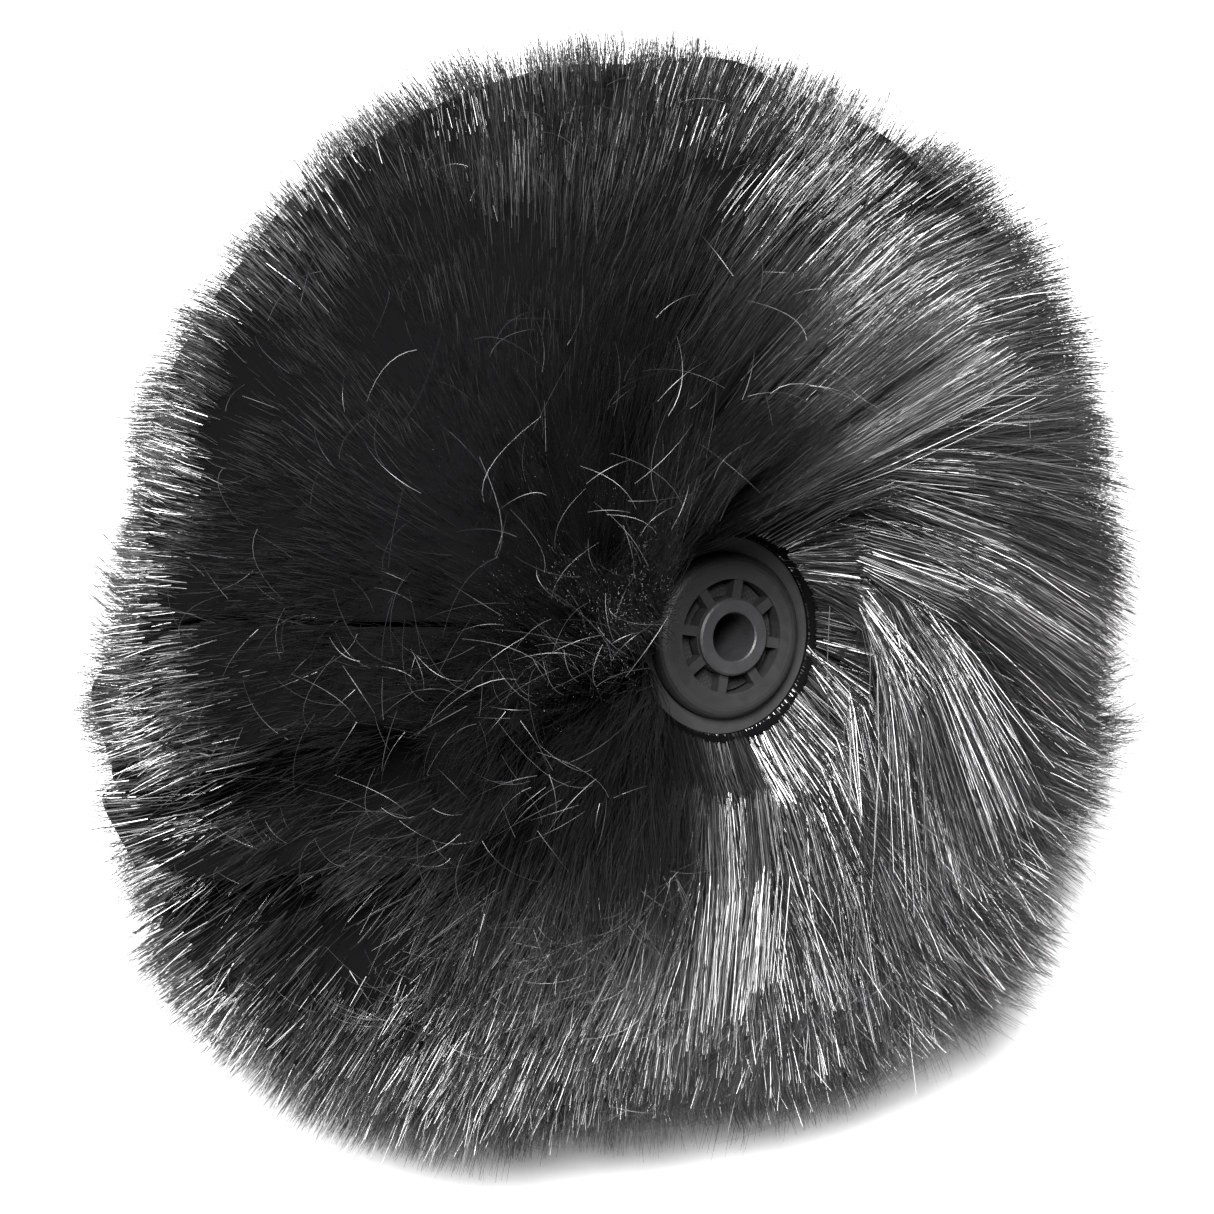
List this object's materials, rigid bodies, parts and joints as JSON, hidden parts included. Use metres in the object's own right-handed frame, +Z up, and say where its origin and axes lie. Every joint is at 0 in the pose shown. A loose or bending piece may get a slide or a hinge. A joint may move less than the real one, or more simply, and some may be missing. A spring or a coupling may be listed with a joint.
{
  "type": "fur ball windshield",
  "caption": "Black long-pile fur ball windshield for a miniature microphone, with a vented push-in adaptor and a bore that grips the capsule.",
  "frame": {"origin": "on the surface the ball lies on, under the middle of its bounding box", "axes": "+Z up, -Y forward: the bore axis lies in the YZ plane and leaves the mouth forward and 30 degrees up"},
  "size_m": [0.1146, 0.1115, 0.1119],
  "materials": {
    "adaptor": "matt moulded elastomer",
    "sleeve": "matt moulded elastomer",
    "gauze": "fine black mesh",
    "gasket": "matt",
    "cage": "fine moulded texture",
    "liner": "fine black mesh",
    "hem": "woven tape",
    "elastic": "braided elastic",
    "fur": "long soft pile with a grey sheen"
  },
  "bodies": {
    "cover_and_cage": {"cage_front": "cage", "cage_rear": "cage", "retaining_collar": "cage", "liner_front": "liner", "liner_rear": "liner", "hem_casing": "hem", "hem_elastic": "elastic", "fur_panel_1": "fur", "fur_panel_2": "fur", "fur_panel_3": "fur", "fur_panel_4": "fur"},
    "seat": {"seat_gasket": "gasket"},
    "adaptor": {"vented_disc": "adaptor", "mic_sleeve": "sleeve", "vent_gauze": "gauze"}
  },
  "joints": [
    {"name": "adaptor_turn", "type": "hinge", "parent": "cover_and_cage", "child": "seat", "pos_m": [0, -0.02208, 0.06575], "axis": [0, -0.866, 0.5], "continuous": true},
    {"name": "adaptor_pull", "type": "slide", "parent": "seat", "child": "adaptor", "axis": [0, -0.866, 0.5], "range_m": [0, 0.045]}
  ]
}
